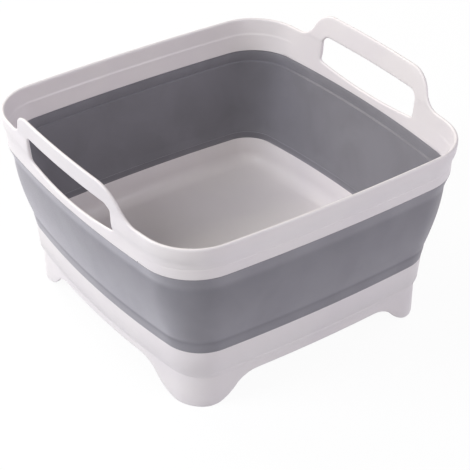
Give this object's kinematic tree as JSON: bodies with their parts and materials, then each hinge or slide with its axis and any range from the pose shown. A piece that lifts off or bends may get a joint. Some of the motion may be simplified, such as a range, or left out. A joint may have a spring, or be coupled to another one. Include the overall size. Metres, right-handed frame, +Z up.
{
  "type": "collapsible sink",
  "caption": "Square collapsible sink: rigid rim with loop handles, soft wall that folds down, and a footed base tray.",
  "frame": {"origin": "middle of the basin, on the table that the feet stand on", "axes": "+X from handle to handle, +Y along the plain sides' normal, +Z up out of the basin"},
  "size_m": [0.3144, 0.2948, 0.1938],
  "materials": {
    "white_plastic": "satin off-white polypropylene with a faint lilac cast",
    "grey_rubber": "matte blue-grey thermoplastic rubber"
  },
  "bodies": {
    "base": {"base_tray": "white_plastic", "wall_bottom_lip": "grey_rubber"},
    "rim": {"rim_frame": "white_plastic", "wall_top_lip": "grey_rubber"},
    "band_4": {"wall_band_4": "grey_rubber"},
    "band_3": {"wall_band_3": "grey_rubber"},
    "band_2": {"wall_band_2": "grey_rubber"},
    "band_1": {"wall_band_1": "grey_rubber"}
  },
  "joints": [
    {"name": "rim_collapse", "type": "slide", "parent": "base", "child": "rim", "axis": [0, 0, 1], "range_m": [-0.12, 0]},
    {"name": "band_4_fold", "type": "slide", "parent": "base", "child": "band_4", "axis": [0, 0, 1], "range_m": [-0.0948, 0]},
    {"name": "band_3_fold", "type": "slide", "parent": "base", "child": "band_3", "axis": [0, 0, 1], "range_m": [-0.0648, 0]},
    {"name": "band_2_fold", "type": "slide", "parent": "base", "child": "band_2", "axis": [0, 0, 1], "range_m": [-0.0372, 0]},
    {"name": "band_1_fold", "type": "slide", "parent": "base", "child": "band_1", "axis": [0, 0, 1], "range_m": [-0.0156, 0]}
  ],
  "couplings": [
    {"joint": "band_4_fold", "follows": "rim_collapse", "ratio": 0.79},
    {"joint": "band_3_fold", "follows": "rim_collapse", "ratio": 0.54},
    {"joint": "band_2_fold", "follows": "rim_collapse", "ratio": 0.31},
    {"joint": "band_1_fold", "follows": "rim_collapse", "ratio": 0.13}
  ]
}
